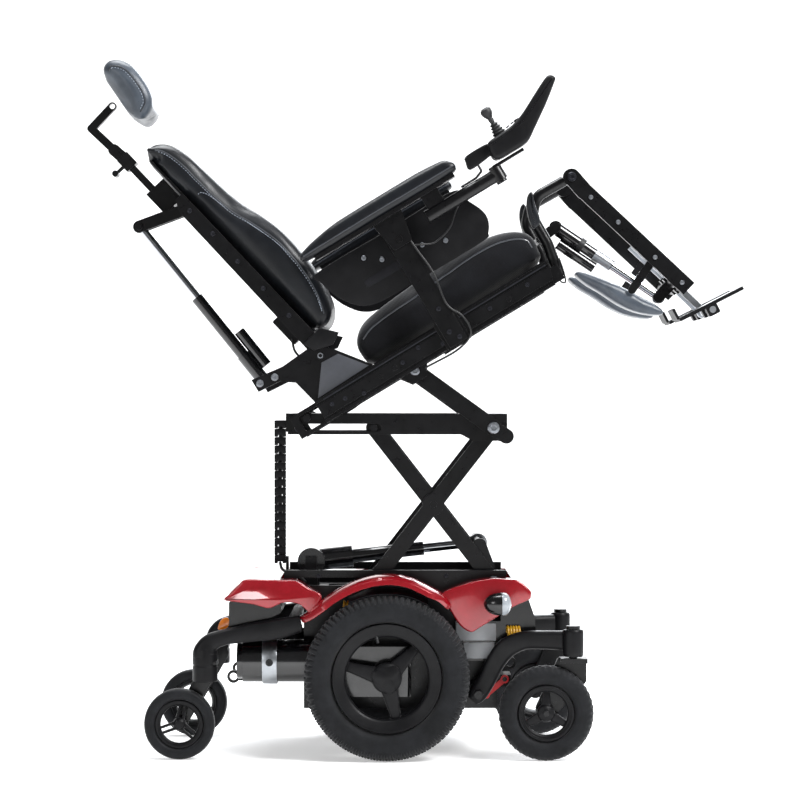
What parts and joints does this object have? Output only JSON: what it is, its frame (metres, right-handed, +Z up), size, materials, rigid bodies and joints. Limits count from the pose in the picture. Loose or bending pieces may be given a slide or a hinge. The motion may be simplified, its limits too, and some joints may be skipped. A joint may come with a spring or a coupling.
{
  "type": "power wheelchair",
  "caption": "Mid-wheel power wheelchair with scissor seat lift, tilt, reclining back, elevating legrest, headrest and joystick.",
  "frame": {"origin": "on the floor, under the middle of the overall length and width, with the chair raised, tilted and stood on its wheels", "axes": "+X forward, +Y to the user's left, +Z up"},
  "size_m": [1.4368, 0.6, 1.5153],
  "materials": {
    "anodised": "dark anodised",
    "battery_case": "moulded case",
    "black_plastic": "fine texture",
    "black_steel": "satin black powder coat",
    "bright_steel": "brushed",
    "caster_tyre": "grey rubber",
    "fabric": "black coated knit",
    "lens": "clear lens",
    "motor_enamel": "semi gloss",
    "red_lever": "moulded",
    "red_shell": "gloss moulded ABS",
    "rubber": "matte",
    "tyre": "matte rubber",
    "vinyl": "grained vinyl"
  },
  "bodies": {
    "base": {"chassis_frame": "black_steel", "battery_pack": "battery_case", "control_module": "anodised", "base_housing": "black_plastic", "rear_cover": "red_shell", "front_cover": "red_shell", "drive_motors": "motor_enamel", "rear_caster_arms": "black_steel", "front_lamps": "lens", "lift_base_frame": "black_steel", "cable_chain": "black_plastic"},
    "drive_wheel_left": {"drive_wheel_left": "tyre"},
    "front_arm_left": {"front_caster_arm_left": "black_steel"},
    "front_fork_left": {"front_fork_left": "black_steel"},
    "front_caster_left": {"front_caster_wheel_left": "caster_tyre"},
    "rear_fork_left": {"rear_fork_left": "black_steel"},
    "rear_caster_left": {"rear_caster_wheel_left": "caster_tyre"},
    "freewheel_left": {"freewheel_lever_left": "red_lever"},
    "drive_wheel_right": {"drive_wheel_right": "tyre"},
    "front_arm_right": {"front_caster_arm_right": "black_steel"},
    "front_fork_right": {"front_fork_right": "black_steel"},
    "front_caster_right": {"front_caster_wheel_right": "caster_tyre"},
    "rear_fork_right": {"rear_fork_right": "black_steel"},
    "rear_caster_right": {"rear_caster_wheel_right": "caster_tyre"},
    "freewheel_right": {"freewheel_lever_right": "red_lever"},
    "lift_lower": {"lift_arm_b": "black_steel"},
    "lift_upper": {"lift_arm_a": "black_steel"},
    "beam": {"upper_beam": "black_steel"},
    "lift_motor": {"lift_motor": "black_steel"},
    "lift_rod": {"lift_rod": "bright_steel"},
    "tilt": {"tilt_strut": "black_steel"},
    "seat": {"seat_frame": "anodised", "seat_pan": "black_plastic", "seat_cushion": "fabric", "side_guards": "black_plastic", "leg_hangers": "black_steel"},
    "back": {"back_frame": "black_steel", "back_cushion": "fabric"},
    "recline_motor": {"recline_motor": "black_steel"},
    "recline_rod": {"recline_rod": "bright_steel"},
    "head_stem": {"headrest_stem": "black_steel"},
    "head_arm": {"headrest_arm": "black_steel"},
    "head_pad": {"headrest_pad": "fabric"},
    "arm_left": {"armrest_left": "black_steel", "armpad_left": "vinyl"},
    "arm_right": {"armrest_right": "black_steel", "armpad_right": "vinyl", "joystick_cable": "rubber"},
    "joy_arm": {"joystick_arm": "black_steel", "joystick_housing": "black_plastic"},
    "joy_boot": {"joystick_boot": "rubber"},
    "joy_lever": {"joystick_lever": "black_plastic"},
    "joy_button": {"joystick_button": "black_plastic"},
    "legrest": {"leg_channels": "anodised", "calf_pads": "fabric"},
    "leg_motor": {"leg_motor": "black_steel"},
    "leg_rod": {"leg_rod": "bright_steel"},
    "foot": {"foot_bracket": "bright_steel"},
    "foot_left": {"footplate_left": "black_steel"},
    "foot_right": {"footplate_right": "black_steel"}
  },
  "joints": [
    {"name": "drive_wheel_left", "type": "hinge", "parent": "base", "child": "drive_wheel_left", "pos_m": [-0.05215, 0.26, 0.1775], "axis": [0, 1, 0], "continuous": true},
    {"name": "front_suspension_left", "type": "hinge", "parent": "base", "child": "front_arm_left", "pos_m": [0.14385, 0.215, 0.138], "axis": [0, -1, 0], "range_deg": [-4, 5], "stiffness_Nm_per_rad": 9000, "springref_deg": -0.34},
    {"name": "front_swivel_left", "type": "hinge", "parent": "front_arm_left", "child": "front_fork_left", "pos_m": [0.34585, 0.251, 0.25], "axis": [0, 0, 1], "continuous": true},
    {"name": "front_caster_left", "type": "hinge", "parent": "front_fork_left", "child": "front_caster_left", "pos_m": [0.28785, 0.251, 0.102], "axis": [0, 1, 0], "continuous": true},
    {"name": "rear_swivel_left", "type": "hinge", "parent": "base", "child": "rear_fork_left", "pos_m": [-0.44215, 0.225, 0.19], "axis": [0, 0, 1], "continuous": true},
    {"name": "rear_caster_left", "type": "hinge", "parent": "rear_fork_left", "child": "rear_caster_left", "pos_m": [-0.49715, 0.225, 0.076], "axis": [0, 1, 0], "continuous": true},
    {"name": "freewheel_left", "type": "hinge", "parent": "base", "child": "freewheel_left", "pos_m": [0.20185, 0.184, 0.168], "axis": [0, -1, 0], "range_deg": [0, 40]},
    {"name": "drive_wheel_right", "type": "hinge", "parent": "base", "child": "drive_wheel_right", "pos_m": [-0.05215, -0.26, 0.1775], "axis": [0, 1, 0], "continuous": true},
    {"name": "front_suspension_right", "type": "hinge", "parent": "base", "child": "front_arm_right", "pos_m": [0.14385, -0.215, 0.138], "axis": [0, -1, 0], "range_deg": [-4, 5], "stiffness_Nm_per_rad": 9000, "springref_deg": -0.34},
    {"name": "front_swivel_right", "type": "hinge", "parent": "front_arm_right", "child": "front_fork_right", "pos_m": [0.34585, -0.251, 0.25], "axis": [0, 0, 1], "continuous": true},
    {"name": "front_caster_right", "type": "hinge", "parent": "front_fork_right", "child": "front_caster_right", "pos_m": [0.28785, -0.251, 0.102], "axis": [0, 1, 0], "continuous": true},
    {"name": "rear_swivel_right", "type": "hinge", "parent": "base", "child": "rear_fork_right", "pos_m": [-0.44215, -0.225, 0.19], "axis": [0, 0, 1], "continuous": true},
    {"name": "rear_caster_right", "type": "hinge", "parent": "rear_fork_right", "child": "rear_caster_right", "pos_m": [-0.49715, -0.225, 0.076], "axis": [0, 1, 0], "continuous": true},
    {"name": "freewheel_right", "type": "hinge", "parent": "base", "child": "freewheel_right", "pos_m": [0.20185, -0.184, 0.168], "axis": [0, -1, 0], "range_deg": [0, 40]},
    {"name": "seat_lift", "type": "hinge", "parent": "base", "child": "lift_lower", "pos_m": [0.17785, 0, 0.3775], "axis": [0, 1, 0], "range_deg": [-44.1, 0], "deforming": ["cable_chain"]},
    {"name": "lift_cross", "type": "hinge", "parent": "lift_lower", "child": "lift_upper", "pos_m": [0.04835, 0, 0.544], "axis": [0, 1, 0], "range_deg": [0, 88.2]},
    {"name": "lift_top", "type": "hinge", "parent": "lift_upper", "child": "beam", "pos_m": [0.17785, 0, 0.7105], "axis": [0, 1, 0], "range_deg": [-44.1, 0]},
    {"name": "lift_motor_tilt", "type": "hinge", "parent": "base", "child": "lift_motor", "pos_m": [-0.22015, 0, 0.414], "axis": [0, 1, 0], "range_deg": [0, 6]},
    {"name": "lift_stroke", "type": "slide", "parent": "lift_motor", "child": "lift_rod", "axis": [0.994, 0, 0.1093], "range_m": [-0.051, 0]},
    {"name": "seat_tilt", "type": "hinge", "parent": "beam", "child": "tilt", "pos_m": [0.17785, 0, 0.7105], "axis": [0, 1, 0], "range_deg": [-38, 0]},
    {"name": "seat_level", "type": "hinge", "parent": "tilt", "child": "seat", "pos_m": [0.00825, 0, 0.8332], "axis": [0, 1, 0], "range_deg": [0, 69]},
    {"name": "back_recline", "type": "hinge", "parent": "seat", "child": "back", "pos_m": [-0.19503, 0, 0.86579], "axis": [0, -1, 0], "range_deg": [-8, 40]},
    {"name": "recline_motor_swing", "type": "hinge", "parent": "seat", "child": "recline_motor", "pos_m": [-0.32257, -0.07, 0.81192], "axis": [0, -1, 0], "range_deg": [-10, 48]},
    {"name": "recline_stroke", "type": "slide", "parent": "recline_motor", "child": "recline_rod", "axis": [-0.6286, 0, 0.7777], "range_m": [-0.0768, 0.017]},
    {"name": "headrest_height", "type": "slide", "parent": "back", "child": "head_stem", "axis": [-0.6884, 0, 0.7254], "range_m": [-0.005, 0.06]},
    {"name": "headrest_reach", "type": "hinge", "parent": "head_stem", "child": "head_arm", "pos_m": [-0.65834, 0, 1.32496], "axis": [0, -1, 0], "range_deg": [-15, 15]},
    {"name": "headrest_angle", "type": "hinge", "parent": "head_arm", "child": "head_pad", "pos_m": [-0.66286, 0, 1.4227], "axis": [0, -1, 0], "range_deg": [-12, 15]},
    {"name": "armrest_flip_left", "type": "hinge", "parent": "seat", "child": "arm_left", "pos_m": [-0.02489, 0.266, 1.11379], "axis": [0, -1, 0], "range_deg": [0, 90]},
    {"name": "armrest_flip_right", "type": "hinge", "parent": "seat", "child": "arm_right", "pos_m": [-0.02489, -0.266, 1.11379], "axis": [0, -1, 0], "range_deg": [0, 90]},
    {"name": "joystick_swing", "type": "hinge", "parent": "arm_right", "child": "joy_arm", "pos_m": [0.18429, -0.275, 1.251], "axis": [-0.518, 0, 0.8554], "range_deg": [-80, 0]},
    {"name": "joystick_pitch", "type": "hinge", "parent": "joy_arm", "child": "joy_boot", "pos_m": [0.19374, -0.267, 1.32804], "axis": [0, 1, 0], "range_deg": [-14, 14], "stiffness_Nm_per_rad": 0.6},
    {"name": "joystick_roll", "type": "hinge", "parent": "joy_boot", "child": "joy_lever", "pos_m": [0.19374, -0.267, 1.32804], "axis": [0.8554, 0, 0.518], "range_deg": [-14, 14], "stiffness_Nm_per_rad": 0.6},
    {"name": "joystick_button", "type": "slide", "parent": "joy_arm", "child": "joy_button", "axis": [0.518, 0, -0.8554], "range_m": [0, 0.0025], "stiffness_N_per_m": 400},
    {"name": "leg_elevate", "type": "hinge", "parent": "seat", "child": "legrest", "pos_m": [0.34703, 0, 1.25252], "axis": [0, -1, 0], "range_deg": [-6, 45]},
    {"name": "leg_motor_swing", "type": "hinge", "parent": "seat", "child": "leg_motor", "pos_m": [0.3179, -0.06, 1.14968], "axis": [0, -1, 0], "range_deg": [-6.54, 45.77]},
    {"name": "leg_stroke", "type": "slide", "parent": "leg_motor", "child": "leg_rod", "axis": [0.8285, 0, -0.5599], "range_m": [-0.0123, 0.0796]},
    {"name": "foot_length", "type": "slide", "parent": "legrest", "child": "foot", "axis": [0.7302, 0, -0.6833], "range_m": [-0.02, 0.06]},
    {"name": "footplate_flip_left", "type": "hinge", "parent": "foot", "child": "foot_left", "pos_m": [0.65156, 0.12, 0.96619], "axis": [0, -1, 0], "range_deg": [0, 70]},
    {"name": "footplate_flip_right", "type": "hinge", "parent": "foot", "child": "foot_right", "pos_m": [0.65156, -0.12, 0.96619], "axis": [0, -1, 0], "range_deg": [0, 70]}
  ],
  "couplings": [
    {"joint": "lift_cross", "follows": "seat_lift", "ratio": -2},
    {"joint": "lift_top", "follows": "seat_lift", "ratio": 1},
    {"joint": "lift_motor_tilt", "follows": "seat_lift", "ratio": -0.1303},
    {"joint": "lift_stroke", "follows": "seat_lift", "m_per_rad": 0.06576},
    {"joint": "seat_level", "follows": "seat_tilt", "ratio": -1.7895},
    {"joint": "recline_motor_swing", "follows": "back_recline", "ratio": 1.1876},
    {"joint": "recline_stroke", "follows": "back_recline", "m_per_rad": -0.10711},
    {"joint": "leg_motor_swing", "follows": "leg_elevate", "ratio": 1.0059},
    {"joint": "leg_stroke", "follows": "leg_elevate", "m_per_rad": 0.09878}
  ]
}
